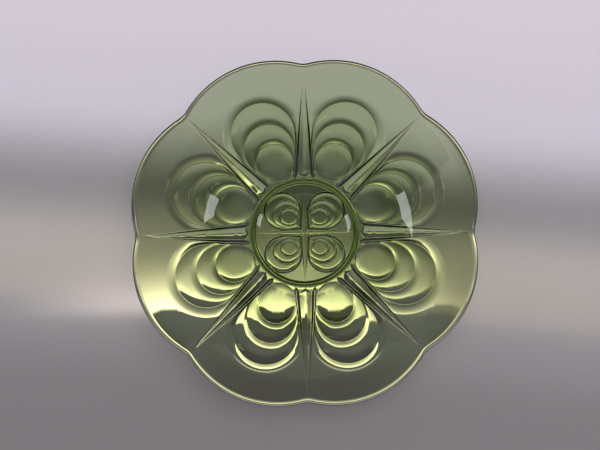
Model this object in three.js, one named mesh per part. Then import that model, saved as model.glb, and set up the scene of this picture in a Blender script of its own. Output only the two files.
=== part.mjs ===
// Pressed-glass serving plate: one piece of glass with a scalloped rim of eight lobes.
// The upper side is a smooth dish. The underside carries the moulded pattern. Each lobe has three
// nested thumbprints with raised lips, and between the lobes stand tapered spokes with a V groove
// along the top. Inside the foot ring the same motif returns at a smaller scale, four times round.
// Units are millimetres, +Z is up. The origin is the centre of the foot ring, on the table,
// and +Y runs along a spoke.
import * as THREE from "three";

// Outline of the rim
const plateDiameter = 305; // across two opposite lobes
const leafCount = 4; // leaves in the medallion: the rim has two lobes for each
const lobeArcRadius = 89; // arc that draws one lobe
const notchRounding = 2.5; // softens the notch between two lobes
const rimNoseDepth = 4.5; // how far in the rounded edge begins

// Section through the dish
const wellDiameter = 66; // flat floor of the dish
const wellHeight = 9.5; // floor of the dish above the table
const wellFillet = 34; // from the floor up into the wall
const wallAngle = 38; // degrees, where the wall is steepest
const shoulderRadius = 90; // from the wall out into the flange
const flangeAngle = 8; // degrees
const wallThickness = 4.2; // plain glass of the flange
const heelThickness = 6.4; // plain glass where the wall meets the foot

// Foot
const footDiameter = 95.6; // outer edge of the foot ring
const footWidth = 3; // flat that stands on the table
const footTaper = 0.9; // slant of the ring's inner side
const heelWidth = 1.5; // steep side from the ring out to the ledge
const ledgeHeight = 6.5; // level ledge round the foot, where the pattern of the wall ends
const ledgeStep = 1.8; // width of the step from a print's lip down to the ledge
const medallionHeight = 2.3; // ground of the medallion above the table

// Thumbprints of the band: distance of the tip from the centre, radius of the round end, lip height
const innerPrintTip = 83.5;
const innerPrintRadius = 16.5;
const innerPrintLip = 3.6;
const middlePrintTip = 100.5;
const middlePrintRadius = 21.7;
const middlePrintLip = 3;
const outerPrintTip = 119.5;
const outerPrintRadius = 27.5;
const outerPrintLip = 2.7;
const printSag = 1.3; // the hollow inside a lip lies this far below it
const printFall = 9; // width of the slope that falls from a lip into its own hollow
const printFlank = 6.2; // width of the flank that climbs to the two inner lips
const outerPrintFlank = 7; // width of the flank that climbs from the flange to the outer lip
const lipSpacing = 0.7; // between the lips where they run side by side along a spoke

// Bend of a slope: 1 is straight, 2 rounds it into the ground
const flankBend = 1.3;
const fallBend = 2;

// Spokes of the band
const spokeShoulder = 55.3; // radius where a spoke begins to taper
const spokeTip = 142; // radius of its sharp outer tip
const spokeGrooveWidth = 11.2; // V groove along the top, between the two edges
const spokeGrooveAngle = 24; // degrees, slope of each side of the groove
const spokeFlankWidth = 2.8; // slanted side from an edge down to the wall
const spokeHeight = 3; // of the two edges above the wall

// Medallion: the motif at a smaller scale, whose spokes are the arms of a cross
const innerLeafTip = 26.7;
const innerLeafRadius = 7.6;
const middleLeafTip = 34.1;
const middleLeafRadius = 11.8;
const outerLeafTip = 43;
const outerLeafRadius = 15.4;
const leafLip = 1.3; // height of every lip in the medallion
const leafSag = 0.6;
const leafFall = 3.6;
const leafFlank = 1.5;
const leafLipSpacing = 0.35;
const armShoulder = 5.4; // radius where an arm begins to taper
const armTip = 43.4; // radius of its sharp outer tip
const armGrooveWidth = 5.2;
const armGrooveAngle = 14; // degrees
const armFlankWidth = 1.2;

// How finely the surface is divided
const bandColumns = [5, 1, 1, 2, 1, 1]; // inner print, two strips between lips, gutter, flank, groove
const bandRows = [1, 1, 4, 1, 2, 1, 2, 2, 2]; // ledge, wall, print, flank and fall twice, flank, flange
const medallionRows = [1, 1, 3, 1, 1, 1, 1, 1, 1];
const noseRows = 3; // round the edge of the rim
const shoulderRows = 3;
const filletRows = 3;
const weldDistance = 0.03; // closer points are one point
const settleTurns = 12;

const glassColour = 0x9aa46c;

const radians = Math.PI / 180;
const lobeCount = 2 * leafCount;
const plateRadius = plateDiameter / 2;
const wellRadius = wellDiameter / 2;
const footRadius = footDiameter / 2;
const footInnerRadius = footRadius - footWidth;
const heelRadius = footRadius + heelWidth;
const { clamp } = THREE.MathUtils;

// Section of the upper side: a flat floor, a fillet, an arc over the shoulder and a straight flange
const wallSine = Math.sin(wallAngle * radians);
const wallCosine = Math.cos(wallAngle * radians);
const filletEnd = wellRadius + wellFillet * wallSine;
const shoulderEnd = filletEnd + shoulderRadius * (wallSine - Math.sin(flangeAngle * radians));

function dishSlope(r) {
  if (r < wellRadius) return 0;
  if (r < filletEnd) return Math.asin((r - wellRadius) / wellFillet);
  if (r < shoulderEnd) return Math.asin(wallSine - (r - filletEnd) / shoulderRadius);
  return flangeAngle * radians;
}

function dishHeight(r) {
  const cosine = Math.cos(dishSlope(r));
  if (r < filletEnd) return wellHeight + wellFillet * (1 - cosine);
  const filletRise = wellFillet * (1 - wallCosine);
  const shoulderRise = shoulderRadius * (cosine - wallCosine);
  const flangeRise = Math.max(0, r - shoulderEnd) * Math.tan(flangeAngle * radians);
  return wellHeight + filletRise + shoulderRise + flangeRise;
}

// Plain glass below the dish: it thins evenly from the heel out to the flange.
function glassThickness(r) {
  const share = clamp((shoulderEnd - r) / (shoulderEnd - heelRadius), 0, 1);
  return wallThickness + (heelThickness - wallThickness) * share;
}

// Radius of the rim at an angle from a lobe's axis: two arcs that run together at the notch
function rimRadius(angle) {
  const offset = plateRadius - lobeArcRadius;
  const arc = (a) => offset * Math.cos(a) + Math.sqrt(lobeArcRadius ** 2 - (offset * Math.sin(a)) ** 2);
  const own = arc(angle);
  const next = arc((2 * Math.PI) / lobeCount - angle);
  const share = clamp(0.5 + (own - next) / (2 * notchRounding), 0, 1);
  return next + (own - next) * share + notchRounding * share * (1 - share);
}

// A motif is a ring of equal sectors, each with three prints on its axis and half a spoke at each side.
function makePrint(tip, radius, lip, flank) {
  const centre = tip - radius;
  const sideAngle = Math.asin(radius / centre);
  return { centre, radius, lip, flank, sideAngle, sideLength: centre * Math.cos(sideAngle) };
}

const band = {
  halfSector: Math.PI / lobeCount,
  prints: [
    makePrint(innerPrintTip, innerPrintRadius, innerPrintLip, printFlank),
    makePrint(middlePrintTip, middlePrintRadius, middlePrintLip, printFlank),
    makePrint(outerPrintTip, outerPrintRadius, outerPrintLip, outerPrintFlank),
  ],
  sag: printSag,
  fall: printFall,
  lipSpacing,
  spoke: {
    shoulder: spokeShoulder,
    tip: spokeTip,
    halfGroove: spokeGrooveWidth / 2,
    grooveSlope: Math.tan(spokeGrooveAngle * radians),
    flank: spokeFlankWidth,
    height: spokeHeight,
  },
  columnCounts: bandColumns,
  rowCounts: bandRows,
  innerLimit: heelRadius,
  outerLimit: (angle) => rimRadius(angle) - rimNoseDepth,
  ledgeLimit: (r) => (dishHeight(r) - ledgeHeight) * Math.cos(dishSlope(r)) - glassThickness(r),
};

const medallion = {
  halfSector: Math.PI / leafCount,
  prints: [
    makePrint(innerLeafTip, innerLeafRadius, leafLip, leafFlank),
    makePrint(middleLeafTip, middleLeafRadius, leafLip, leafFlank),
    makePrint(outerLeafTip, outerLeafRadius, leafLip, leafFlank),
  ],
  sag: leafSag,
  fall: leafFall,
  lipSpacing: leafLipSpacing,
  spoke: {
    shoulder: armShoulder,
    tip: armTip,
    halfGroove: armGrooveWidth / 2,
    grooveSlope: Math.tan(armGrooveAngle * radians),
    flank: armFlankWidth,
    height: leafLip,
  },
  columnCounts: bandColumns.map((count) => 2 * count),
  rowCounts: medallionRows,
  innerLimit: (armGrooveWidth / 2 + armFlankWidth) * Math.SQRT2, // corner between two arms
  outerLimit: () => footInnerRadius - footTaper,
  ledgeLimit: () => Infinity, // no ledge here
};

// How far a spoke has tapered at a radius: 1 at its shoulder, 0 at its tip, more than 1 inside the shoulder
function spokeTaper(spoke, r) {
  return Math.max(0, (spoke.tip - r) / (spoke.tip - spoke.shoulder));
}

// The same for the spoke itself, which keeps its full width inside the shoulder
function spokeShare(spoke, r) {
  return Math.min(1, spokeTaper(spoke, r));
}

// Distance from a point to a print's lip, negative inside it. The inner print is a full circle.
// The other two have straight sides that run from the round end towards the plate's centre.
function printDistance(print, isCircle, r, angle) {
  const past = angle - print.sideAngle;
  if (!isCircle && r * Math.cos(past) < print.sideLength) return r * Math.sin(past);
  return Math.hypot(r * Math.cos(angle) - print.centre, r * Math.sin(angle)) - print.radius;
}

// Height between two lips: a flank climbs to the near one, the hollow of the far one falls from its
// lip, and a narrow hollow is shallower.
function hollowHeight(near, far, floor) {
  const gap = near.distance + far.distance;
  if (gap < weldDistance) return Math.max(near.lip, far.lip);
  const share = Math.min(1, gap / (near.width + far.width));
  const chord = (near.lip * far.distance + far.lip * near.distance) / gap;
  const bottom = chord + (floor - chord) * share;
  const nearness = (side) => Math.max(0, 1 - side.distance / (side.width * share));
  const flank = (near.lip - bottom) * nearness(near) ** flankBend;
  const fall = (far.lip - bottom) * nearness(far) ** fallBend;
  return bottom + flank + fall;
}

// Height between the outer lip and the foot of a spoke: one flank, narrower where there is less room
function gutterHeight(print, fromPrint, fromSpoke) {
  const width = Math.min(print.flank, fromPrint + fromSpoke);
  if (width < weldDistance) return print.lip;
  return print.lip * Math.max(0, 1 - fromPrint / width) ** flankBend;
}

// Height of a motif's pattern above plain ground, at a radius and an angle from the sector's axis
function patternHeight(motif, r, angle) {
  const { prints, spoke, sag, fall } = motif;
  const [inner, middle, outer] = prints;
  const share = spokeShare(spoke, r);
  const fromAxis = r * Math.sin(motif.halfSector - angle);
  const fromEdge = fromAxis - spoke.halfGroove * share;
  const fromFoot = fromEdge - spoke.flank * share;
  if (fromEdge <= 0) return spoke.height * share + fromEdge * spoke.grooveSlope;
  if (fromFoot < 0) return (-fromFoot * spoke.height) / spoke.flank;
  const toInner = printDistance(inner, true, r, angle);
  if (toInner <= 0) return inner.lip - sag * (1 - (1 + toInner / inner.radius) ** 2);
  const clearance = fromAxis - (spoke.halfGroove + spoke.flank) * spokeTaper(spoke, r);
  const toMiddle = Math.max(printDistance(middle, false, r, angle), 2 * motif.lipSpacing - clearance);
  const toOuter = Math.max(printDistance(outer, false, r, angle), motif.lipSpacing - clearance);
  if (toOuter > 0) return gutterHeight(outer, toOuter, fromFoot);
  const outside = (print, distance) => ({ distance, lip: print.lip, width: print.flank });
  const inside = (print, distance) => ({ distance: -distance, lip: print.lip, width: fall });
  if (toMiddle > 0) return hollowHeight(outside(middle, toMiddle), inside(outer, toOuter), outer.lip - sag);
  return hollowHeight(outside(inner, toInner), inside(middle, toMiddle), middle.lip - sag);
}

// The same where the level ledge cuts the pattern off. The inner prints reach across the ledge.
function reliefHeight(motif, r, angle) {
  const [inner] = motif.prints;
  const pattern = patternHeight(motif, r, angle);
  const toInner = printDistance(inner, true, r, angle);
  if (toInner <= 0) return pattern;
  const step = inner.lip * Math.max(0, 1 - toInner / ledgeStep);
  return Math.min(pattern, Math.max(motif.ledgeLimit(r), step));
}

// Splits each stretch between two marks into its count of steps.
function divide(marks, counts, ease) {
  const places = [marks[0]];
  counts.forEach((count, i) => {
    for (let k = 1; k <= count; k++) {
      const share = i === 0 ? ease(k / count) : k / count;
      places.push(marks[i] + (marks[i + 1] - marks[i]) * share);
    }
  });
  return places;
}

// Angles of a motif's columns at a radius: they follow the sides of the prints and the lines of the spoke.
function columnAngles(motif, r) {
  const { halfSector, spoke, columnCounts } = motif;
  const [inner, middle, outer] = motif.prints;
  const beside = (distance) => halfSector - Math.asin(Math.min(Math.sin(halfSector), distance / r));
  const edge = spoke.halfGroove * spokeShare(spoke, r);
  const foot = edge + spoke.flank * spokeShare(spoke, r);
  const sideLine = (spoke.halfGroove + spoke.flank) * spokeTaper(spoke, r);
  const marks = [
    0,
    inner.sideAngle,
    Math.min(middle.sideAngle, beside(sideLine + 2 * motif.lipSpacing)),
    Math.min(outer.sideAngle, beside(sideLine + motif.lipSpacing)),
    beside(foot),
    beside(edge),
    halfSector,
  ];
  for (let i = marks.length - 2; i > 0; i--) {
    marks[i] = clamp(marks[i], 0, marks[i + 1]);
  }
  return divide(marks, columnCounts, (share) => Math.sin((Math.PI / 2) * share));
}

// Radius where a ray leaves the round end of a print, grown by a margin: side is -1 near and 1 far.
function roundEnd(print, angle, margin, side) {
  const reach = (print.radius + margin) ** 2 - (print.centre * Math.sin(angle)) ** 2;
  if (reach <= 0) return print.sideLength;
  return print.centre * Math.cos(angle) + side * Math.sqrt(reach);
}

// Radius where the pattern along a ray comes up to the ledge
function ledgeEnd(motif, angle, outerEnd) {
  let low = motif.innerLimit;
  let high = Math.max(low, outerEnd);
  for (let turn = 0; turn < settleTurns; turn++) {
    const middle = (low + high) / 2;
    if (patternHeight(motif, middle, angle) > motif.ledgeLimit(middle)) low = middle;
    else high = middle;
  }
  return low;
}

// Radii of a motif's rows along a ray: they follow the ledge and the round ends of prints and flanks.
function rowRadii(motif, angle) {
  const [inner, middle, outer] = motif.prints;
  const outerLimit = motif.outerLimit(angle);
  const nearEnd = roundEnd(inner, angle, 0, -1);
  const marks = [
    motif.innerLimit,
    ledgeEnd(motif, angle, nearEnd),
    nearEnd,
    ...[inner, middle, outer].flatMap((print) => [
      roundEnd(print, angle, 0, 1),
      roundEnd(print, angle, print.flank, 1),
    ]),
    outerLimit,
  ];
  for (let i = 1; i < marks.length; i++) {
    marks[i] = clamp(marks[i], marks[i - 1], outerLimit);
  }
  return divide(marks, motif.rowCounts, (share) => share);
}

// A column's place in a motif: its number from the nearest axis, that axis, and the side of it
function placeColumn(motif, column) {
  const perHalf = motif.columnCounts.reduce((sum, count) => sum + count);
  const half = Math.floor(column / perHalf);
  const within = column % perHalf;
  const isBeforeAxis = half % 2 === 0;
  return {
    number: isBeforeAxis ? perHalf - within : within,
    axis: (isBeforeAxis ? half + 1 : half) * motif.halfSector,
    side: isBeforeAxis ? -1 : 1,
  };
}

// Points of a column in a motif, as radius, turn round the plate and relief.
// Its angle depends on the radius and its radius on the angle, so they are settled in turns.
function motifPoints(motif, column) {
  const { number, axis, side } = placeColumn(motif, column);
  const rowTotal = motif.rowCounts.reduce((sum, count) => sum + count);
  return Array.from({ length: rowTotal + 1 }, (_, row) => {
    let r = motif.innerLimit;
    let angle = 0;
    for (let turn = 0; turn < settleTurns; turn++) {
      angle = columnAngles(motif, r)[number];
      r = rowRadii(motif, angle)[row];
    }
    return { r, angle, theta: axis + side * angle, relief: reliefHeight(motif, r, angle) };
  });
}

function polar(r, theta, z) {
  return new THREE.Vector3(r * Math.sin(theta), r * Math.cos(theta), z);
}

// One section of the plate, from the middle of the underside over the rim to the middle of the dish
function sectionPoints(column) {
  const points = [polar(0, 0, medallionHeight - reliefHeight(medallion, 0, 0))];
  for (const { r, theta, relief } of motifPoints(medallion, column)) {
    points.push(polar(r, theta, medallionHeight - relief));
  }
  const wall = motifPoints(band, column);
  points.push(polar(footInnerRadius, wall[0].theta, 0));
  points.push(polar(footRadius, wall[0].theta, 0));
  for (const { r, theta, relief } of wall) {
    const glass = (glassThickness(r) + relief) / Math.cos(dishSlope(r));
    points.push(polar(r, theta, dishHeight(r) - glass));
  }
  const { r: flangeEnd, theta } = wall.at(-1);
  const edgeThickness = glassThickness(flangeEnd) / Math.cos(dishSlope(flangeEnd));
  for (let k = 1; k <= noseRows; k++) {
    const turn = Math.PI * (k / (noseRows + 1) - 0.5);
    const r = flangeEnd + rimNoseDepth * Math.cos(turn);
    points.push(polar(r, theta, dishHeight(r) - (edgeThickness * (1 - Math.sin(turn))) / 2));
  }
  const dishMarks = [flangeEnd, Math.min(flangeEnd, shoulderEnd), filletEnd, wellRadius];
  for (const r of divide(dishMarks, [1, shoulderRows, filletRows], (share) => share)) {
    points.push(polar(r, theta, dishHeight(r)));
  }
  points.push(polar(0, 0, wellHeight));
  return points;
}

// Joins the sections into one closed skin. Points that fall together are welded, and faces that
// vanish with them are left out.
function loftSections(sections) {
  const positions = [];
  const numbers = sections.map(() => []);
  const addPoint = (point) => positions.push(point.x, point.y, point.z) / 3 - 1;
  sections.forEach((section, column) => {
    section.forEach((point, row) => {
      const isPole = row === 0 || row === section.length - 1;
      const isNear = (other) => other.distanceTo(point) < weldDistance;
      const below = row > 0 && isNear(section[row - 1]);
      const before = column > 0 && isNear(sections[column - 1][row]);
      const round = column === sections.length - 1 && isNear(sections[0][row]);
      if (isPole && column > 0) numbers[column][row] = numbers[0][row];
      else if (below) numbers[column][row] = numbers[column][row - 1];
      else if (before) numbers[column][row] = numbers[column - 1][row];
      else if (round) numbers[column][row] = numbers[0][row];
      else numbers[column][row] = addPoint(point);
    });
  });
  const faces = [];
  const addFace = (a, b, c) => {
    if (a !== b && b !== c && c !== a) faces.push(a, b, c);
  };
  sections.forEach((section, column) => {
    const here = numbers[column];
    const next = numbers[(column + 1) % sections.length];
    const isMirrored = placeColumn(band, column).side < 0;
    for (let row = 0; row + 1 < section.length; row++) {
      if (isMirrored) {
        addFace(here[row], here[row + 1], next[row + 1]);
        addFace(here[row], next[row + 1], next[row]);
      } else {
        addFace(here[row], here[row + 1], next[row]);
        addFace(next[row], here[row + 1], next[row + 1]);
      }
    }
  });
  const geometry = new THREE.BufferGeometry();
  geometry.setAttribute("position", new THREE.Float32BufferAttribute(positions, 3));
  geometry.setIndex(faces);
  geometry.computeVertexNormals();
  return geometry;
}

const columnTotal = 2 * lobeCount * bandColumns.reduce((sum, count) => sum + count);
const sections = Array.from({ length: columnTotal }, (_, column) => sectionPoints(column));
const glass = new THREE.MeshStandardMaterial({ color: glassColour, roughness: 0.06, metalness: 0 });

const plate = new THREE.Mesh(loftSections(sections), glass);
plate.name = "plate";

const root = new THREE.Group();
root.add(plate);

export default root;
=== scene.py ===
import math

import bpy
import numpy as np
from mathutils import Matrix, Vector
from mathutils.geometry import delaunay_2d_cdt


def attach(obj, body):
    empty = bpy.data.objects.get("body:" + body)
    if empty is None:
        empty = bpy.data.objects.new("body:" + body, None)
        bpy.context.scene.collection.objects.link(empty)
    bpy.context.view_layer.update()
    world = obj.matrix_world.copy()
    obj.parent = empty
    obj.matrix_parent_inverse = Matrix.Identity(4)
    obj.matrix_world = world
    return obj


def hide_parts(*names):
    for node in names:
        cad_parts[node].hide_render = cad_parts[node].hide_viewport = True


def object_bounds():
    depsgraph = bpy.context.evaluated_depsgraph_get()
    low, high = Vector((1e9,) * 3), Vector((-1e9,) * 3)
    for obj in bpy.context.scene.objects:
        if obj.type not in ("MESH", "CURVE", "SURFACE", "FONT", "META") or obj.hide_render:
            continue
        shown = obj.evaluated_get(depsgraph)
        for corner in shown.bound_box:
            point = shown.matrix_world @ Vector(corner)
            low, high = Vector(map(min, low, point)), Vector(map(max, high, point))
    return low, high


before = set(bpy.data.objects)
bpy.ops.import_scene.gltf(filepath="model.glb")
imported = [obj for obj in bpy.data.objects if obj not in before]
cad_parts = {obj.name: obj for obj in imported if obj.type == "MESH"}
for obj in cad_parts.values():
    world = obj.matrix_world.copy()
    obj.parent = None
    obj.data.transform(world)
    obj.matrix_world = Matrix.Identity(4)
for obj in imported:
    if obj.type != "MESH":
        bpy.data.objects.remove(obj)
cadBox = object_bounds()
mm = 0.001
print("frame loaded, nodes:", sorted(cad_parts))


# Sizes in millimetres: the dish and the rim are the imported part's, the underside is tuned to bend light
dish = {
    "crestRadius": 152.5,      # out to the middle of a lobe
    "lobes": 8,
    "lobeArc": 89.0,
    "notchRounding": 2.5,
    "noseDepth": 4.5,          # how far in the rounded rim begins
    "wellRadius": 33.0,
    "wellHeight": 9.5,
    "fillet": 34.0,            # floor to wall
    "wallAngle": math.radians(38),
    "shoulder": 90.0,          # wall to flange
    "flangeAngle": math.radians(8),
    "thickness": 4.2,          # plain glass of the flange
    "wallThickness": 5.2,
    "thinning": (84.0, 126.0),         # between these radii the wall thins to the flange
}
foot = {
    "radius": 47.8,
    "width": 3.0,
    "taper": 0.9,
    "heel": 1.5,
    "edge": 1.3,               # rounding of both edges of the ring
    "groundHeight": 2.3,       # medallion's ground above the flat of the ring
    "ledgeRadius": 50.2,       # the ledge round the ring ends here where the wall is plain
    "endSlope": 0.68,          # and farther out where the pattern is higher
    "endStep": 0.6,            # height over which the ledge passes into the pattern
    "endReach": 5.6,           # it ends no farther than this past the spokes' shoulders
}
heelRadius = foot["radius"] + foot["heel"]
footInnerRadius = foot["radius"] - foot["width"]
medallionRadius = footInnerRadius - foot["taper"]


# A print: how far out its end reaches, the end's radius, its lip's height and the width of its flank
def makePrint(tip, radius, lip, flank, isCircle=False):
    centre = tip - radius
    sideAngle = math.asin(radius / centre)
    return {
        "centre": centre,
        "radius": radius,
        "lip": lip,
        "flank": flank,
        "isCircle": isCircle,
        "sideAngle": sideAngle,
        "sideLength": centre * math.cos(sideAngle),
    }


# Nested thumbprints of one lobe and half a spoke at each side
band = {
    "sectors": dish["lobes"],
    "prints": [
        makePrint(tip=83.5, radius=16.5, lip=2.4, flank=5.0, isCircle=True),
        makePrint(tip=100.5, radius=21.7, lip=2.0, flank=6.5),
        makePrint(tip=119.5, radius=27.5, lip=1.6, flank=8.5),
    ],
    "sag": 0.9,                # depth of a hollow below its own lip
    "flankBend": 2.0,          # 1 is a straight slope, 2 rounds it into the ground
    "fall": 9.0,               # width of the slope inside a lip
    "scoopFall": 6.5,          # and inside the lip of the inner print
    "lipSpacing": 0.7,
    "spoke": {
        "shoulder": 55.3,
        "tip": 142.0,
        "halfGroove": 5.6,
        "grooveSlope": math.tan(math.radians(24)),
        "flank": 2.8,
        "height": 3.0,
    },
    "innerLimit": heelRadius,
    "hasLedge": True,
    "sideStart": 0.0,
    "polish": 0.3,             # the fire polish rounds every crest this much
    "rows": [0.3, 0.7, 1.3, 2.1, 3.1],   # lines of points beside each crest
    "toe": 0.4,                # and beside the toe of each flank
    "step": 1.15,
    "openStep": 2.4,           # where the glass is plain
    "normalReach": 0.1,        # slopes are measured over this to each side
}

# The same motif inside the foot ring, four times round, with the arms of a cross as spokes
medallion = {
    "sectors": 4,
    "prints": [
        makePrint(tip=26.7, radius=7.6, lip=1.9, flank=1.0, isCircle=True),
        makePrint(tip=34.1, radius=11.8, lip=1.85, flank=1.0),
        makePrint(tip=43.0, radius=15.4, lip=1.8, flank=1.6),
    ],
    "sag": 1.0,
    "flankBend": 1.0,
    "fall": 3.6,
    "scoopFall": 2.6,
    "lipSpacing": 0.35,
    "spoke": {
        "shoulder": 5.4,
        "tip": 43.4,
        "halfGroove": 2.6,
        "grooveSlope": math.tan(math.radians(18)),
        "flank": 1.4,
        "height": 1.7,
    },
    "innerLimit": 0.0,
    "hasLedge": False,
    "sideStart": 1.0,          # where the lines beside an arm begin
    "polish": 0.1,
    "rows": [0.2, 0.5, 0.95],
    "toe": 0.2,
    "step": 0.75,
    "openStep": 0.9,
    "normalReach": 0.06,
}
fallBend = 2                   # the slope inside a lip rounds out into its hollow

# How finely the glass is drawn: counts, millimetres, and shares of a step or a distance
net = {
    "settleTurns": 24,         # rounds of a search
    "polishSamples": 8,        # round each point
    "columnsPerHalf": 24,      # columns of the turned glass in half a lobe
    "crowding": 0.5,           # how much they crowd towards the notches
    "lipPoints": 200,
    "rootPoints": 40,          # along a spoke's side, inside its shoulder
    "spokePoints": 300,        # and beyond it
    "ledgePoints": 400,
    "ledgeShare": 0.4,         # the end of the ledge has shorter steps
    "fineStep": 0.25,          # distances to the sharp lines are measured on these points
    "borderShare": 0.3,        # left free along the border
    "offsetShare": 0.9,        # a point beside one line keeps this off the others
    "rowShare": 0.7,           # least gap in the rows beside a line
    "gridShare": 0.75,         # and in the grids
    "gridRow": 0.87,           # rows of even triangles
    "lookBack": 60,            # a new point is compared with this many before it
    "cornerPoints": 4,
    "nosePoints": 13,
    "dishRows": (6, 14, 10, 4),        # flange, shoulder, fillet and floor
    "ringMargin": 0.2,         # beside the foot ring the mesh has its own normals
}
tolerance = {
    "none": 1e-6,              # keeps a divisor off zero and allows for rounding
    "flat": 1e-5,              # millimetres, as the next three
    "axis": 1e-4,
    "ring": 1e-3,
    "rim": 0.01,
    "mirror": 1e-6,            # metres, as the next two
    "spin": 2e-6,
    "join": 1e-5,
}


# Section of the dish: a flat floor, a fillet, an arc over the shoulder and a straight flange
wallSine = math.sin(dish["wallAngle"])
wallCosine = math.cos(dish["wallAngle"])
filletEnd = dish["wellRadius"] + dish["fillet"] * wallSine
shoulderEnd = filletEnd + dish["shoulder"] * (wallSine - math.sin(dish["flangeAngle"]))
roundFlangeEnd = dish["crestRadius"] - dish["noseDepth"]


def dishSlope(r):
    inFillet = np.arcsin(np.clip((r - dish["wellRadius"]) / dish["fillet"], 0, 1))
    overShoulder = np.arcsin(np.clip(wallSine - (r - filletEnd) / dish["shoulder"], 0, 1))
    return np.where(r < filletEnd, inFillet, np.maximum(overShoulder, dish["flangeAngle"]))


def dishHeight(r):
    cosine = np.cos(dishSlope(r))
    low = dish["fillet"] * (1 - cosine)
    shoulderRise = dish["shoulder"] * (cosine - wallCosine)
    flangeRise = np.maximum(0, r - shoulderEnd) * math.tan(dish["flangeAngle"])
    high = dish["fillet"] * (1 - wallCosine) + shoulderRise + flangeRise
    return dish["wellHeight"] + np.where(r < filletEnd, low, high)


def glassThickness(r):
    first, last = dish["thinning"]
    share = np.clip((last - r) / (last - first), 0, 1)
    return dish["thickness"] + (dish["wallThickness"] - dish["thickness"]) * share


def isUnderside(r, z):
    return z < dishHeight(r) - dish["thickness"] / 2


# Plain underside of the wall, parallel to the dish, and the cosine of its slope
def wallUnder(r):
    glass = glassThickness(r)
    above = r
    for turn in range(net["settleTurns"]):
        above = r - glass * np.sin(dishSlope(above))
    cosine = np.cos(dishSlope(above))
    return dishHeight(above) - glass * cosine, cosine


def fold(turn, sectors):
    half = math.pi / sectors
    return np.abs(np.mod(turn, 2 * half) - half)       # 0 on a lobe's axis, half on a spoke


# The arcs of neighbouring lobes pass into each other in a small rounded notch
def rimRadius(turn):
    angle = fold(turn, dish["lobes"])
    offset = dish["crestRadius"] - dish["lobeArc"]
    rounding = dish["notchRounding"]

    def arc(a):
        return offset * np.cos(a) + np.sqrt(dish["lobeArc"] ** 2 - (offset * np.sin(a)) ** 2)

    own = arc(angle)
    beside = arc(2 * math.pi / dish["lobes"] - angle)
    share = np.clip(0.5 + (own - beside) / (2 * rounding), 0, 1)
    return beside + (own - beside) * share + rounding * share * (1 - share)


def flangeEnd(turn):
    return rimRadius(turn) - dish["noseDepth"]


def medallionEnd(turn):
    return np.full(np.shape(turn), medallionRadius)


# Relief of the underside
def spokeTaper(spoke, r):
    return np.maximum(0, (spoke["tip"] - r) / (spoke["tip"] - spoke["shoulder"]))


def spokeShare(spoke, r):
    return np.minimum(1, spokeTaper(spoke, r))


# Room between the spoke's foot and a lip beside it
def lipRoom(motif, number):
    return (len(motif["prints"]) - number) * motif["lipSpacing"]


def printDistance(mould, r, angle):
    toArc = np.hypot(r * np.cos(angle) - mould["centre"], r * np.sin(angle)) - mould["radius"]
    if mould["isCircle"]:
        return toArc
    past = angle - mould["sideAngle"]
    return np.where(r * np.cos(past) < mould["sideLength"], r * np.sin(past), toArc)


def hollowHeight(near, far, floor, bend):
    nearLip, nearWidth, nearDistance = near
    farLip, farWidth, farDistance = far
    gap = np.maximum(nearDistance + farDistance, tolerance["none"])
    share = np.minimum(1, gap / (nearWidth + farWidth))        # a narrow hollow is shallower
    chord = (nearLip * farDistance + farLip * nearDistance) / gap
    bottom = chord + (floor - chord) * share
    flank = (nearLip - bottom) * np.maximum(0, 1 - nearDistance / (nearWidth * share)) ** bend
    fall = (farLip - bottom) * np.maximum(0, 1 - farDistance / (farWidth * share)) ** fallBend
    return bottom + flank + fall


# Distances from the edge and the foot of the spoke, and to the three lips
def patternDistances(motif, r, angle):
    inner, middle, outer = motif["prints"]
    spoke = motif["spoke"]
    share = spokeShare(spoke, r)
    fromAxis = r * np.sin(math.pi / motif["sectors"] - angle)
    fromEdge = fromAxis - spoke["halfGroove"] * share
    fromFoot = fromEdge - spoke["flank"] * share
    clearance = fromAxis - (spoke["halfGroove"] + spoke["flank"]) * spokeTaper(spoke, r)
    toInner = printDistance(inner, r, angle)
    toMiddle = np.maximum(printDistance(middle, r, angle), lipRoom(motif, 1) - clearance)
    toOuter = np.maximum(printDistance(outer, r, angle), lipRoom(motif, 2) - clearance)
    return fromEdge, fromFoot, toInner, toMiddle, toOuter


def patternHeight(motif, r, angle):
    inner, middle, outer = motif["prints"]
    spoke, sag, fall, bend = motif["spoke"], motif["sag"], motif["fall"], motif["flankBend"]
    fromEdge, fromFoot, toInner, toMiddle, toOuter = patternDistances(motif, r, angle)
    groove = spoke["height"] * spokeShare(spoke, r) + fromEdge * spoke["grooveSlope"]
    flank = -fromFoot * spoke["height"] / spoke["flank"]
    scoop = inner["lip"] - sag * (1 - np.clip(1 + toInner / motif["scoopFall"], 0, 1) ** fallBend)
    gutterWidth = np.maximum(np.minimum(outer["flank"], toOuter + fromFoot), tolerance["none"])
    gutter = outer["lip"] * np.maximum(0, 1 - toOuter / gutterWidth) ** bend
    nearMiddle = (middle["lip"], middle["flank"], toMiddle)
    outerHollow = hollowHeight(nearMiddle, (outer["lip"], fall, -toOuter), outer["lip"] - sag, bend)
    nearInner = (inner["lip"], inner["flank"], toInner)
    innerHollow = hollowHeight(nearInner, (middle["lip"], fall, -toMiddle), middle["lip"] - sag, bend)
    places = [fromEdge <= 0, fromFoot < 0, toInner <= 0, toOuter > 0, toMiddle > 0]
    return np.select(places, [groove, flank, scoop, gutter, outerHollow], innerHollow)


def ledgeLimit(r):
    return (r - foot["ledgeRadius"]) * foot["endSlope"]


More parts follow.
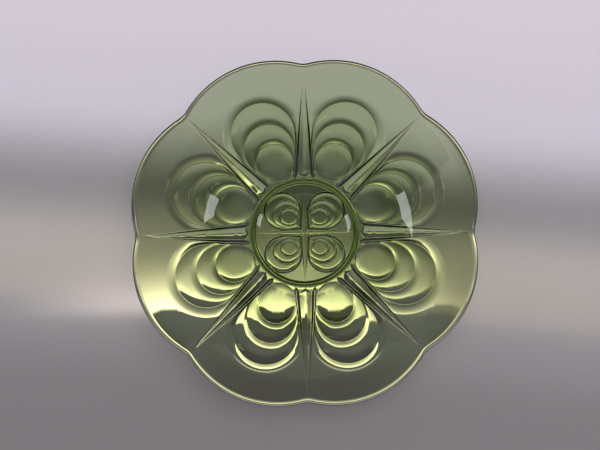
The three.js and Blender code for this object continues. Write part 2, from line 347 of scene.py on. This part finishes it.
# The ledge, flush with the spokes' crests, ends the pattern, but the inner prints reach across it
def sharpRelief(motif, r, angle):
    pattern = patternHeight(motif, r, angle)
    if not motif["hasLedge"]:
        return pattern
    toInner = printDistance(motif["prints"][0], r, angle)
    flush = motif["spoke"]["height"]
    share = np.clip((ledgeLimit(r) - pattern) / foot["endStep"], 0, 1)
    return np.where(toInner <= 0, pattern, flush + (pattern - flush) * share)


# The mean of points round each point stands for the fire polish
def pressedRelief(motif, x, y):
    total = np.zeros_like(x)
    samples = net["polishSamples"]
    for number in range(samples):
        turn = 2 * math.pi * number / samples
        sampleX = x + motif["polish"] * math.cos(turn)
        sampleY = y + motif["polish"] * math.sin(turn)
        angle = fold(np.arctan2(sampleX, sampleY), motif["sectors"])
        total += sharpRelief(motif, np.hypot(sampleX, sampleY), angle)
    return total / samples


def bandHeight(x, y):
    under, cosine = wallUnder(np.hypot(x, y))
    return under - pressedRelief(band, x, y) / cosine


def medallionHeight(x, y):
    ground = foot["groundHeight"] + dishHeight(np.hypot(x, y)) - dish["wellHeight"]
    return ground - pressedRelief(medallion, x, y)


# Lines of the pattern in half a sector, as points along and across the lobe's axis
def divided(length, step):
    return np.linspace(0, 1, max(2, int(round(length / step)) + 1))


def polarLine(r, angle):
    return np.stack([r * np.cos(angle), r * np.sin(angle)], 1)


def asPolar(line):
    return np.hypot(line[:, 0], line[:, 1]), np.arctan2(line[:, 1], line[:, 0])


def resampled(line, step):
    lengths = np.hypot(*np.diff(line, axis=0).T)
    along = np.concatenate([[0], np.cumsum(lengths)])
    places = divided(along[-1], step) * along[-1]
    return np.stack([np.interp(places, along, line[:, 0]), np.interp(places, along, line[:, 1])], 1)


def offsetLine(line, distance):
    way = np.gradient(line, axis=0)
    way /= np.maximum(np.hypot(way[:, 0], way[:, 1]), tolerance["none"])[:, None]
    return line + np.reshape(distance, (-1, 1)) * np.stack([-way[:, 1], way[:, 0]], 1)


def apart(points, others):
    if len(others) == 0:
        return np.full(len(points), np.inf)
    return np.array([np.hypot(*(others - point).T).min() for point in points])


def besideSpoke(motif, r, distance):
    half = math.pi / motif["sectors"]
    sine = distance / np.maximum(r, tolerance["none"])
    return half - np.arcsin(np.clip(sine, 0, math.sin(half)))


def sideStart(motif):
    return max(motif["innerLimit"], motif["sideStart"])


def lipLine(motif, number):
    mould = motif["prints"][number]
    begin = math.pi if mould["isCircle"] else math.pi / 2 + mould["sideAngle"]
    turn = np.linspace(begin, 0, net["lipPoints"])
    end = np.stack([mould["centre"] + mould["radius"] * np.cos(turn), mould["radius"] * np.sin(turn)], 1)
    if mould["isCircle"]:
        return end
    spoke = motif["spoke"]
    r = np.linspace(sideStart(motif), mould["sideLength"], net["lipPoints"])
    spokeSide = (spoke["halfGroove"] + spoke["flank"]) * spokeTaper(spoke, r)
    angle = np.minimum(mould["sideAngle"], besideSpoke(motif, r, spokeSide + lipRoom(motif, number)))
    return np.concatenate([polarLine(r, angle)[:-1], end])


def spokeLine(motif, width):
    spoke = motif["spoke"]
    root = np.linspace(sideStart(motif), spoke["shoulder"], net["rootPoints"])
    beyond = np.linspace(spoke["shoulder"], spoke["tip"], net["spokePoints"])
    r = np.concatenate([root[:-1], beyond])
    return polarLine(r, besideSpoke(motif, r, width * spokeShare(spoke, r)))


# Where the flank outside a lip runs out: nearer to the lip where there is less room
def toeLine(motif, number):
    line = lipLine(motif, number)
    flank = motif["prints"][number]["flank"]
    isOutermost = number == len(motif["prints"]) - 1
    width = np.full(len(line), flank)
    for turn in range(net["settleTurns"]):
        distances = patternDistances(motif, *asPolar(offsetLine(line, width)))
        fromFoot, toLips = distances[1], distances[2:]
        if isOutermost:
            found = np.minimum(flank, toLips[number] + fromFoot)
        else:
            gap = toLips[number] - toLips[number + 1]
            found = flank * np.minimum(1, gap / (flank + motif["fall"]))
        width = np.maximum(0, (width + found) / 2)
    return offsetLine(line, width)


# Where the pattern comes up to the ledge: a zigzag round the end of each spoke
def ledgeLine(motif, rise):
    angle = np.linspace(0, math.pi / motif["sectors"], net["ledgePoints"])
    low = np.full_like(angle, motif["innerLimit"])
    high = np.full_like(angle, motif["spoke"]["shoulder"] + foot["endReach"])
    for turn in range(net["settleTurns"]):
        middle = (low + high) / 2
        isCut = patternHeight(motif, middle, angle) + rise > ledgeLimit(middle)
        low = np.where(isCut, middle, low)
        high = np.where(isCut, high, middle)
    return polarLine(low, angle)[printDistance(motif["prints"][0], low, angle) > 0]


# All lines where the relief turns sharply, and their points in the net
def sharpLines(motif):
    spoke = motif["spoke"]
    lines = [lipLine(motif, number) for number in range(len(motif["prints"]))]
    lines.append(spokeLine(motif, spoke["halfGroove"]))
    lines.append(spokeLine(motif, spoke["halfGroove"] + spoke["flank"]))
    crests = [resampled(line, motif["step"]) for line in lines]
    if motif["hasLedge"]:
        for rise in (0.0, foot["endStep"]):
            lines.append(ledgeLine(motif, rise))
            crests.append(resampled(lines[-1], net["ledgeShare"] * motif["step"]))
    return lines, crests


# Points of the half sector's border, in order: out along the lobe's axis and back along the spoke
def sectorBorder(motif, crests, outerColumns, outerLimit):
    half = math.pi / motif["sectors"]
    inner = motif["innerLimit"]

    def sidePoints(angle):
        outer = float(outerLimit(np.array(half - angle)))
        stops = [inner, outer]
        for line in crests:
            for point in (line[0], line[-1]):
                r, turn = math.hypot(*point), math.atan2(point[1], point[0])
                if abs(turn - angle) < tolerance["none"] and inner < r < outer:
                    stops.append(r)
        stops = sorted(stops)
        runs = [a + (b - a) * divided(b - a, motif["step"])[:-1] for a, b in zip(stops, stops[1:])]
        return polarLine(np.append(np.concatenate(runs), stops[-1]), angle)

    rimSide = polarLine(outerLimit(half - outerColumns), outerColumns)
    axisSide, spokeSide = sidePoints(0.0), sidePoints(half)[::-1]
    if inner == 0:
        return np.concatenate([axisSide, rimSide[1:-1], spokeSide[:-1]])
    innerSide = polarLine(np.full(len(outerColumns), inner), outerColumns)[::-1]
    return np.concatenate([axisSide, rimSide[1:-1], spokeSide, innerSide[1:-1]])


# Points on rings, each ring half a step round from the last
def ringGrid(motif, spacing):
    half = math.pi / motif["sectors"]
    rings = np.arange(motif["innerLimit"], dish["crestRadius"], spacing * net["gridRow"])
    grid = []
    for number, r in enumerate(rings):
        angle = np.arange((number % 2) / 2, r * half / spacing) * spacing / max(r, spacing)
        grid.append(polarLine(np.full(len(angle), r), angle))
    return np.concatenate(grid)


# Points beside the toes and the sharp lines and two grids for the rest, each with its least gap
def fillRows(motif, lines, outerLimit):
    half = math.pi / motif["sectors"]
    step, toe = motif["step"], motif["toe"]
    margin = net["borderShare"] * step
    fine = np.concatenate([resampled(line, net["fineStep"]) for line in lines])

    def inside(points):
        r, angle = asPolar(points)
        turnMargin = margin / np.maximum(r, step)
        isBetween = (angle > turnMargin) & (angle < half - turnMargin)
        isWithin = (r > motif["innerLimit"] + margin) & (r < outerLimit(half - angle) - margin)
        return points[isBetween & isWithin]

    rows = []
    for number in range(len(motif["prints"])):
        for distance in (0.0, -toe, toe):
            row = resampled(offsetLine(toeLine(motif, number), distance), step)
            rows.append((inside(row), net["rowShare"] * toe))
    for distance, before in zip(motif["rows"], [0.0] + motif["rows"]):
        for line in lines:
            for side in (-1, 1):
                row = inside(resampled(offsetLine(line, side * distance), step))
                row = row[apart(row, fine) > net["offsetShare"] * distance]
                rows.append((row, net["rowShare"] * (distance - before)))
    for spacing, isOpen in ((step, False), (motif["openStep"], True)):
        grid = inside(ringGrid(motif, spacing))
        isClose = apart(grid, fine) < motif["rows"][-1] + motif["openStep"]
        rows.append((grid[isClose != isOpen], net["gridShare"] * spacing))
    return rows


def addApart(kept, row, gap):
    chosen = []
    for point in row[apart(row, kept) > gap]:
        if apart([point], np.array(chosen[-net["lookBack"]:]))[0] > gap:
            chosen.append(point)
    return np.concatenate([kept, np.array(chosen)]) if chosen else kept


def fillHalfSector(motif, outerColumns, outerLimit):
    half = math.pi / motif["sectors"]
    lines, crests = sharpLines(motif)
    border = sectorBorder(motif, crests, outerColumns, outerLimit)
    points = [border]
    count = len(border)
    edges = [(i, (i + 1) % count) for i in range(count)]
    for line in crests:
        r, angle = asPolar(line)
        line = line[(r > motif["innerLimit"] - tolerance["none"]) & (r < outerLimit(half - angle))]
        points.append(line)
        edges += [(count + i, count + i + 1) for i in range(len(line) - 1)]
        count += len(line)
    kept = np.concatenate(points)
    for row, gap in fillRows(motif, lines, outerLimit):
        kept = addApart(kept, row, gap)
    insideOnly = 1
    result = delaunay_2d_cdt([tuple(p) for p in kept], edges, [], insideOnly, tolerance["flat"])
    flat = np.array([tuple(p) for p in result[0]])
    return flat, [tuple(f) for f in result[2]]


# Columns of the turned glass: closer together towards the notches
halfLobe = math.pi / dish["lobes"]
shares = np.linspace(0, 1, net["columnsPerHalf"] + 1)
crowded = net["crowding"] * np.sin(shares * math.pi / 2)
bandColumns = halfLobe * ((1 - net["crowding"]) * shares + crowded)
medallionColumns = np.concatenate([halfLobe - bandColumns[:0:-1], halfLobe + bandColumns])
lobeTurns = medallionColumns[:-1]
columnTurns = np.concatenate([lobeTurns + 2 * halfLobe * lobe for lobe in range(dish["lobes"])])


def startFresh():
    if bpy.context.mode != "OBJECT":
        bpy.ops.object.mode_set(mode="OBJECT")
    bpy.ops.object.select_all(action="DESELECT")


def newObject(name, verts, edges, faces):
    startFresh()
    mesh = bpy.data.meshes.new(name)
    mesh.from_pydata([tuple(v) for v in verts], edges, faces)
    piece = bpy.data.objects.new(name, mesh)
    bpy.context.collection.objects.link(piece)
    bpy.context.view_layer.objects.active = piece
    piece.select_set(True)
    return piece


def coordinates(piece):
    values = np.empty(3 * len(piece.data.vertices), np.float32)
    piece.data.vertices.foreach_get("co", values)
    return values.reshape(-1, 3).astype(float)


def setCoordinates(piece, places):
    piece.data.vertices.foreach_set("co", places.astype(np.float32).ravel())
    piece.data.update()


def weldAll(threshold):
    bpy.ops.mesh.select_all(action="SELECT")
    bpy.ops.mesh.remove_doubles(threshold=threshold)


# One half sector is filled, mirrored over its spoke and copied round the plate
def pressMotif(name, motif, columns, outerLimit, height):
    flat, faces = fillHalfSector(motif, columns, outerLimit)
    r, angle = asPolar(flat)
    turn = math.pi / motif["sectors"] - angle
    x, y = r * np.sin(turn), r * np.cos(turn)
    x[np.abs(x) < tolerance["axis"]] = 0
    piece = newObject(name, np.stack([x, y, height(x, y)], 1) * mm, [], faces)
    mirror = piece.modifiers.new("other half", "MIRROR")
    mirror.use_axis = (True, False, False)
    mirror.merge_threshold = tolerance["mirror"]
    bpy.ops.object.modifier_apply(modifier=mirror.name)
    bpy.ops.object.mode_set(mode="EDIT")
    bpy.ops.mesh.select_all(action="SELECT")
    steps = motif["sectors"] - 1
    bpy.ops.mesh.spin(steps=steps, dupli=True, angle=2 * math.pi * steps / motif["sectors"],
                      center=(0, 0, 0), axis=(0, 0, 1))
    weldAll(tolerance["spin"])
    bpy.ops.object.mode_set(mode="OBJECT")
    print("pressed", name, len(piece.data.vertices), "points")
    return piece


# Half section of the foot ring, from the medallion's edge out to the heel
def ringSection():
    edge = foot["edge"]
    corner = np.radians(np.linspace(0, 90, net["cornerPoints"]))
    ring = [(medallionRadius, foot["groundHeight"])]
    ring += [(footInnerRadius + edge * (1 - math.cos(t)), edge * (1 - math.sin(t))) for t in corner]
    ring += [(foot["radius"] - edge * (1 - math.cos(t)), edge * (1 - math.sin(t))) for t in corner[::-1]]
    ring.append((heelRadius, float(wallUnder(heelRadius)[0])))
    return ring


# Half section of the rounded rim and the dish, down to the middle
def rimSection():
    edgeThickness = dish["thickness"] / math.cos(dish["flangeAngle"])
    rim = []
    for t in np.radians(np.linspace(-90, 90, net["nosePoints"])):
        r = roundFlangeEnd + dish["noseDepth"] * math.cos(t)
        rim.append((r, float(dishHeight(r)) - edgeThickness * (1 - math.sin(t)) / 2))
    stops = [roundFlangeEnd, shoulderEnd, filletEnd, dish["wellRadius"], 0.0]
    for outer, inner, rows in zip(stops, stops[1:], net["dishRows"]):
        for r in np.linspace(outer, inner, rows + 1)[1:]:
            rim.append((r, float(dishHeight(r))))
    return rim


# The round blank gets its scalloped rim, and its rings meet the pressed pattern
def scallop(piece):
    places = coordinates(piece) / mm
    r = np.hypot(places[:, 0], places[:, 1])
    share = np.mod(np.arctan2(places[:, 0], places[:, 1]), 2 * math.pi) / (2 * math.pi)
    number = np.rint(share * len(columnTurns)).astype(int)
    turn = columnTurns[number % len(columnTurns)]
    end = flangeEnd(turn)
    stretch = (end - shoulderEnd) / (roundFlangeEnd - shoulderEnd)
    onFlange = shoulderEnd + (r - shoulderEnd) * stretch
    onNose = end + r - roundFlangeEnd
    moved = np.select([r > roundFlangeEnd, r > shoulderEnd], [onNose, onFlange], r)
    z = places[:, 2] + dishHeight(moved) - dishHeight(r)
    x, y = moved * np.sin(turn), moved * np.cos(turn)
    isUnder = isUnderside(r, places[:, 2])

    def isRing(radius):
        return isUnder & (np.abs(r - radius) < tolerance["ring"])

    z = np.where(isRing(medallionRadius), medallionHeight(x, y), z)
    z = np.where(isRing(heelRadius) | isRing(roundFlangeEnd), bandHeight(x, y), z)
    setCoordinates(piece, np.stack([x, y, z], 1) * mm)


# The plain glass is turned: foot ring, rounded rim and dish
def turnBlank():
    ring, rim = ringSection(), rimSection()
    section = ring + rim
    verts = [(0, r * mm, z * mm) for r, z in section]
    edges = [(i, i + 1) for i in range(len(section) - 1) if i != len(ring) - 1]
    piece = newObject("plate_glass", verts, edges, [])
    bpy.ops.object.mode_set(mode="EDIT")
    bpy.ops.mesh.select_all(action="SELECT")
    bpy.ops.mesh.spin(steps=len(columnTurns), angle=2 * math.pi, center=(0, 0, 0), axis=(0, 0, 1))
    weldAll(tolerance["spin"])
    bpy.ops.object.mode_set(mode="OBJECT")
    scallop(piece)
    print("turned the blank:", len(piece.data.vertices), "points")
    return piece


def joinPieces(main, others):
    startFresh()
    for piece in others + [main]:
        piece.select_set(True)
    bpy.context.view_layer.objects.active = main
    bpy.ops.object.join()
    bpy.ops.object.mode_set(mode="EDIT")
    weldAll(tolerance["join"])
    bpy.ops.mesh.normals_make_consistent(inside=False)
    bpy.ops.mesh.select_all(action="DESELECT")
    bpy.ops.mesh.select_non_manifold()
    bpy.ops.object.mode_set(mode="OBJECT")
    loose = sum(v.select for v in main.data.vertices)
    main.data.calc_loop_triangles()
    print("joined the glass:", len(main.data.loop_triangles), "triangles, open points:", loose)


# Normals of the relief come from its own formula, so that the lips stay clean lines
def polishNormals(piece):
    startFresh()
    piece.select_set(True)
    bpy.context.view_layer.objects.active = piece
    bpy.ops.object.shade_smooth()
    places = coordinates(piece) / mm
    x, y, z = places.T
    r = np.hypot(x, y)
    isUnder = isUnderside(r, z)
    bandEnd = flangeEnd(np.arctan2(x, y)) + tolerance["rim"]
    onBand = isUnder & (r > heelRadius + net["ringMargin"]) & (r < bandEnd)
    onMedallion = isUnder & (r < medallionRadius - net["ringMargin"])
    normals = np.zeros_like(places)
    for place, height, motif in ((onBand, bandHeight, band), (onMedallion, medallionHeight, medallion)):
        px, py = x[place], y[place]
        reach = motif["normalReach"]
        slopeX = (height(px + reach, py) - height(px - reach, py)) / (2 * reach)
        slopeY = (height(px, py + reach) - height(px, py - reach)) / (2 * reach)
        found = np.stack([slopeX, slopeY, -np.ones_like(slopeX)], 1)
        normals[place] = found / np.linalg.norm(found, axis=1)[:, None]
    piece.data.normals_split_custom_set_from_vertices(normals)
    print("polished normals on", int(onBand.sum() + onMedallion.sum()), "points")


bandPiece = pressMotif("band", band, bandColumns, flangeEnd, bandHeight)
medallionPiece = pressMotif("medallion", medallion, medallionColumns, medallionEnd, medallionHeight)
plate = turnBlank()
joinPieces(plate, [bandPiece, medallionPiece])
polishNormals(plate)


# Glass: clear, olive where it is thick, with the faint ripple and the seeds of pressed glass
glassLook = {
    "absorb": (0.455, 0.6, 0.155),     # the colour that thick glass takes on
    "density": 250.0,          # per metre
    "ior": 1.51,
    "roughness": 0.0,
    "rippleScale": 28.0,       # ripples per metre
    "rippleDetail": 2.0,
    "rippleHeight": 0.00006,   # metres
    "seedScale": 36.0,         # seeds per metre
    "seedRadius": 0.0007,
    "seedHeight": 0.0004,
}


def addNode(tree, kind, values=None, **settings):
    node = tree.nodes.new(kind)
    for name, value in settings.items():
        setattr(node, name, value)
    for name, value in (values or {}).items():
        if isinstance(value, bpy.types.NodeSocket):
            tree.links.new(value, node.inputs[name])
        else:
            node.inputs[name].default_value = value
    return node


def makeGlass():
    material = bpy.data.materials.new("green_glass")
    material.use_nodes = True
    tree = material.node_tree
    shader = tree.nodes["Principled BSDF"]
    shader.inputs["Base Color"].default_value = (1, 1, 1, 1)
    shader.inputs["Roughness"].default_value = glassLook["roughness"]
    shader.inputs["IOR"].default_value = glassLook["ior"]
    shader.inputs["Transmission Weight"].default_value = 1.0
    place = addNode(tree, "ShaderNodeTexCoord").outputs["Object"]
    ripple = addNode(tree, "ShaderNodeTexNoise", {
        "Vector": place, "Scale": glassLook["rippleScale"], "Detail": glassLook["rippleDetail"]})
    seeds = addNode(tree, "ShaderNodeTexVoronoi", {"Vector": place, "Scale": glassLook["seedScale"]})
    reach = glassLook["seedRadius"] * glassLook["seedScale"]
    spots = addNode(tree, "ShaderNodeMapRange", {
        "Value": seeds.outputs["Distance"], "From Min": reach, "From Max": 0.0})
    rippleBump = addNode(tree, "ShaderNodeBump", {
        "Strength": 1.0, "Distance": glassLook["rippleHeight"], "Height": ripple.outputs["Fac"]})
    seedBump = addNode(tree, "ShaderNodeBump", {
        "Strength": 1.0, "Distance": glassLook["seedHeight"], "Height": spots.outputs["Result"],
        "Normal": rippleBump.outputs["Normal"]})
    tree.links.new(seedBump.outputs["Normal"], shader.inputs["Normal"])
    body = addNode(tree, "ShaderNodeVolumeAbsorption", {
        "Color": (*glassLook["absorb"], 1), "Density": glassLook["density"]})
    tree.links.new(body.outputs["Volume"], tree.nodes["Material Output"].inputs["Volume"])
    return material


plate.data.materials.clear()
plate.data.materials.append(makeGlass())
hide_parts("plate")
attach(plate, "root")
print("glass ready")


# Pale satin floor under a softly graded sky, with places and sizes in metres
studio = {
    "floorColour": (0.85, 0.83, 0.85),
    "floorRoughness": 0.06,
    "floorMetal": 0.72,
    "floorSize": 6.0,
    "floorHeight": -0.0002,
}
sky = {
    "strength": 1.15,
    "span": 0.6,               # the grades run this far both ways along a direction's Y
    "slant": 0.08,             # and come down to the right
    "grades": [
        (-0.60, (0.01, 0.01, 0.01)),
        (-0.32, (0.03, 0.03, 0.03)),
        (-0.18, (0.06, 0.052, 0.05)),
        (-0.115, (0.15, 0.15, 0.155)),
        (-0.104, (0.32, 0.28, 0.24)),
        (-0.06, (0.36, 0.33, 0.29)),
        (-0.012, (0.13, 0.127, 0.132)),
        (0.06, (0.6, 0.57, 0.65)),
        (0.18, (0.68, 0.61, 0.68)),
        (0.34, (0.3, 0.28, 0.31)),
        (0.60, (0.03, 0.03, 0.035)),
    ],
    "glow": (1.2, 1.05, 0.95),
    "glowStart": (-0.112, -0.104),     # a crisp lower edge
    "glowEnd": (-0.03, -0.108),        # and a soft upper one
    "glowBend": 3.6,           # it is strongest near its lower edge
    "glowMiddle": -0.035,
    "glowAcross": (0.22, 0.04),
    "sides": (0.26, 0.5),
    "sideColour": (0.03, 0.03, 0.033),
    "room": (0.5, 0.48, 0.5),
    "roomHeights": (0.5, 0.78),
}
panel = {
    "halfWidth": 0.62,
    "front": -0.15,
    "back": 0.75,
    "depth": 0.8,
    "frontTop": -0.4,
    "middle": (-0.021, 0.045),
    "reach": 1.84,             # the sky's light is spread this wide on it
    "wallShare": 0.19,         # and drawn together on its upright front
    "glow": (4.1, 3.5, 2.8),
}
lamps = {
    "left": {
        "place": (-0.42, -0.17, 1.42),
        "size": (0.15, 0.3),
        "power": 0.85,
        "colour": (0.93, 0.97, 1),
        "lights": "plate",
    },
    "right": {
        "place": (0.62, -0.24, 1.33),
        "size": (0.15, 0.3),
        "power": 0.85,
        "colour": (0.93, 0.97, 1),
        "lights": "plate",
    },
    "overhead": {
        "place": (0.3, 0.5, 2.4),
        "size": (2.4, 2.4),
        "power": 36.0,
        "colour": (1, 0.98, 1),
        "lights": "floor",
    },
}


def makeFloor():
    startFresh()
    bpy.ops.mesh.primitive_plane_add(size=studio["floorSize"], location=(0, 0, studio["floorHeight"]))
    floor = bpy.context.object
    floor.name = "floor"
    material = bpy.data.materials.new("satin_board")
    material.use_nodes = True
    tree = material.node_tree
    shader = tree.nodes["Principled BSDF"]
    shader.inputs["Base Color"].default_value = (*studio["floorColour"], 1)
    shader.inputs["Roughness"].default_value = studio["floorRoughness"]
    shader.inputs["Metallic"].default_value = studio["floorMetal"]

    # light that came through the glass goes on to the panel below
    clear = addNode(tree, "ShaderNodeBsdfTransparent", {"Color": (*studio["floorColour"], 1)})
    path = addNode(tree, "ShaderNodeLightPath")
    both = addNode(tree, "ShaderNodeMixShader", {
        0: path.outputs["Is Transmission Ray"], 1: shader.outputs["BSDF"], 2: clear.outputs["BSDF"]})
    tree.links.new(both.outputs["Shader"], tree.nodes["Material Output"].inputs["Surface"])
    floor.data.materials.append(material)
    return floor


def smoothStep(tree, value, ends):
    node = addNode(tree, "ShaderNodeMapRange", {"Value": value, "From Min": ends[0], "From Max": ends[1]},
                   interpolation_type="SMOOTHSTEP")
    return node.outputs["Result"]


def mathNode(tree, operation, first, second=0.0):
    return addNode(tree, "ShaderNodeMath", {0: first, 1: second}, operation=operation).outputs["Value"]


# Inputs 6 and 7 of the Mix node are its two colours, and output 2 is the mixed one
def mixColours(tree, factor, first, second):
    node = addNode(tree, "ShaderNodeMix", {0: factor, 6: first, 7: second}, data_type="RGBA")
    return node.outputs[2]


# Colour of the light that comes along a direction, from the direction's X and Y
def paintLight(tree, x, y, glow):
    span = sky["span"]
    slanted = mathNode(tree, "ADD", y, mathNode(tree, "MULTIPLY", x, sky["slant"]))
    along = addNode(tree, "ShaderNodeMapRange", {"Value": slanted, "From Min": -span, "From Max": span})
    ramp = addNode(tree, "ShaderNodeValToRGB", {"Fac": along.outputs["Result"]})
    ramp.color_ramp.interpolation = "EASE"
    stops = ramp.color_ramp.elements
    while len(stops) < len(sky["grades"]):
        stops.new(1.0)
    for stop, (where, colour) in zip(stops, sky["grades"]):
        stop.position = (where + span) / (2 * span)
        stop.color = (*colour, 1)
    across = mathNode(tree, "ABSOLUTE", x)
    fromGlow = mathNode(tree, "ABSOLUTE", mathNode(tree, "SUBTRACT", x, sky["glowMiddle"]))
    rising = addNode(tree, "ShaderNodeMapRange", {
        "Value": y, "From Min": sky["glowEnd"][0], "From Max": sky["glowEnd"][1]}).outputs["Result"]
    rising = mathNode(tree, "POWER", rising, sky["glowBend"])
    glowUp = mathNode(tree, "MULTIPLY", smoothStep(tree, y, sky["glowStart"]), rising)
    glowShare = mathNode(tree, "MULTIPLY", glowUp, smoothStep(tree, fromGlow, sky["glowAcross"]))
    lit = mixColours(tree, glowShare, ramp.outputs["Color"], (*glow, 1))
    return mixColours(tree, smoothStep(tree, across, sky["sides"]), lit, (*sky["sideColour"], 1))


def makeSky():
    world = bpy.data.worlds.new("soft_room")
    bpy.context.scene.world = world
    world.use_nodes = True
    tree = world.node_tree
    place = addNode(tree, "ShaderNodeTexCoord").outputs["Generated"]
    way = addNode(tree, "ShaderNodeSeparateXYZ", {"Vector": place}).outputs
    overhead = paintLight(tree, way["X"], way["Y"], sky["glow"])
    height = smoothStep(tree, mathNode(tree, "ABSOLUTE", way["Z"]), sky["roomHeights"])
    room = mixColours(tree, height, (*sky["room"], 1), overhead)
    tree.links.new(room, tree.nodes["Background"].inputs["Color"])
    tree.nodes["Background"].inputs["Strength"].default_value = sky["strength"]


# Bent panel with the same light, met only through the glass
def makePanel():
    wide, front, back = panel["halfWidth"], panel["front"], panel["back"]
    top, bottom = panel["frontTop"], -panel["depth"]
    verts = [
        (-wide, front, top), (wide, front, top),
        (wide, front, bottom), (-wide, front, bottom),
        (wide, back, bottom), (-wide, back, bottom),
    ]
    piece = newObject("light_panel", verts, [], [(0, 1, 2, 3), (3, 2, 4, 5)])
    material = bpy.data.materials.new("panel_light")
    material.use_nodes = True
    tree = material.node_tree
    tree.nodes.remove(tree.nodes["Principled BSDF"])
    place = addNode(tree, "ShaderNodeTexCoord").outputs["Object"]
    spot = addNode(tree, "ShaderNodeSeparateXYZ", {"Vector": place}).outputs
    middleX, middleY = panel["middle"]
    upFront = mathNode(tree, "MULTIPLY", mathNode(tree, "SUBTRACT", spot["Z"], bottom), panel["wallShare"])
    along = mathNode(tree, "SUBTRACT", mathNode(tree, "SUBTRACT", spot["Y"], middleY), upFront)
    x = mathNode(tree, "DIVIDE", mathNode(tree, "SUBTRACT", spot["X"], middleX), panel["reach"])
    y = mathNode(tree, "DIVIDE", along, panel["reach"])
    colour = paintLight(tree, x, y, panel["glow"])
    light = addNode(tree, "ShaderNodeEmission", {"Color": colour, "Strength": sky["strength"]})
    tree.links.new(light.outputs["Emission"], tree.nodes["Material Output"].inputs["Surface"])
    material.cycles.emission_sampling = "NONE"
    piece.data.materials.append(material)
    piece.visible_camera = False
    piece.visible_diffuse = False
    piece.visible_glossy = False
    piece.visible_shadow = False


# A lamp lights one thing only, and only the plate mirrors its lamps
def makeLamp(name, look, receiver):
    startFresh()
    bpy.ops.object.light_add(type="AREA", location=look["place"])
    lamp = bpy.context.object
    lamp.name = name
    lamp.data.shape = "RECTANGLE"
    lamp.data.size, lamp.data.size_y = look["size"]
    lamp.data.energy = look["power"]
    lamp.data.color = look["colour"]
    lamp.rotation_euler = (-Vector(look["place"])).to_track_quat("-Z", "Y").to_euler()
    lit = bpy.data.collections.new(name + "_lit")
    lit.objects.link(receiver)
    lamp.light_linking.receiver_collection = lit
    lamp.visible_glossy = receiver == plate


receivers = {"plate": plate, "floor": makeFloor()}
makeSky()
makePanel()
for lampName, lampLook in lamps.items():
    makeLamp(lampName, lampLook, receivers[lampLook["lights"]])
print("floor, sky and", len(lamps), "lamps ready")

# Camera at the photograph's viewing angle
photoFrame = {
    "width": 600,
    "focal": 1170.0,           # pixels
    "sensor": 36.0,            # millimetres
    "distance": 996.0,         # millimetres from the rim's plane
    "tilt": math.radians(2.6),
    "yaw": math.radians(1.2),
    "roll": math.radians(-0.8),
    "axisAt": (304.8, 234.8),  # pixel of the plate's axis at rim height
    "middle": (300.0, 225.0),
}


def makeCamera():
    startFresh()
    rimHeight = cadBox[1].z
    width, sensor = photoFrame["width"], photoFrame["sensor"]
    distance = photoFrame["distance"] * mm
    tilt, yaw, roll = photoFrame["tilt"], photoFrame["yaw"], photoFrame["roll"]
    place = (-distance * math.sin(yaw), distance * math.sin(tilt), rimHeight + distance * math.cos(tilt))
    bpy.ops.object.camera_add(location=place, rotation=(-tilt, -yaw, roll))
    camera = bpy.context.object
    camera.data.sensor_width = sensor
    camera.data.lens = sensor * photoFrame["focal"] / width
    across = photoFrame["axisAt"][0] - photoFrame["middle"][0]
    down = photoFrame["axisAt"][1] - photoFrame["middle"][1]
    camera.data.shift_x = -across / width
    camera.data.shift_y = down / width
    bpy.context.scene.camera = camera


makeCamera()

# Light passes many faces of the glass
scene = bpy.context.scene
scene.view_settings.view_transform = "Standard"
scene.cycles.use_denoising = True
scene.cycles.max_bounces = 24
scene.cycles.transmission_bounces = 20
scene.cycles.glossy_bounces = 10
scene.cycles.transparent_max_bounces = 16
scene.cycles.blur_glossy = 0.0
scene.cycles.sample_clamp_indirect = 0
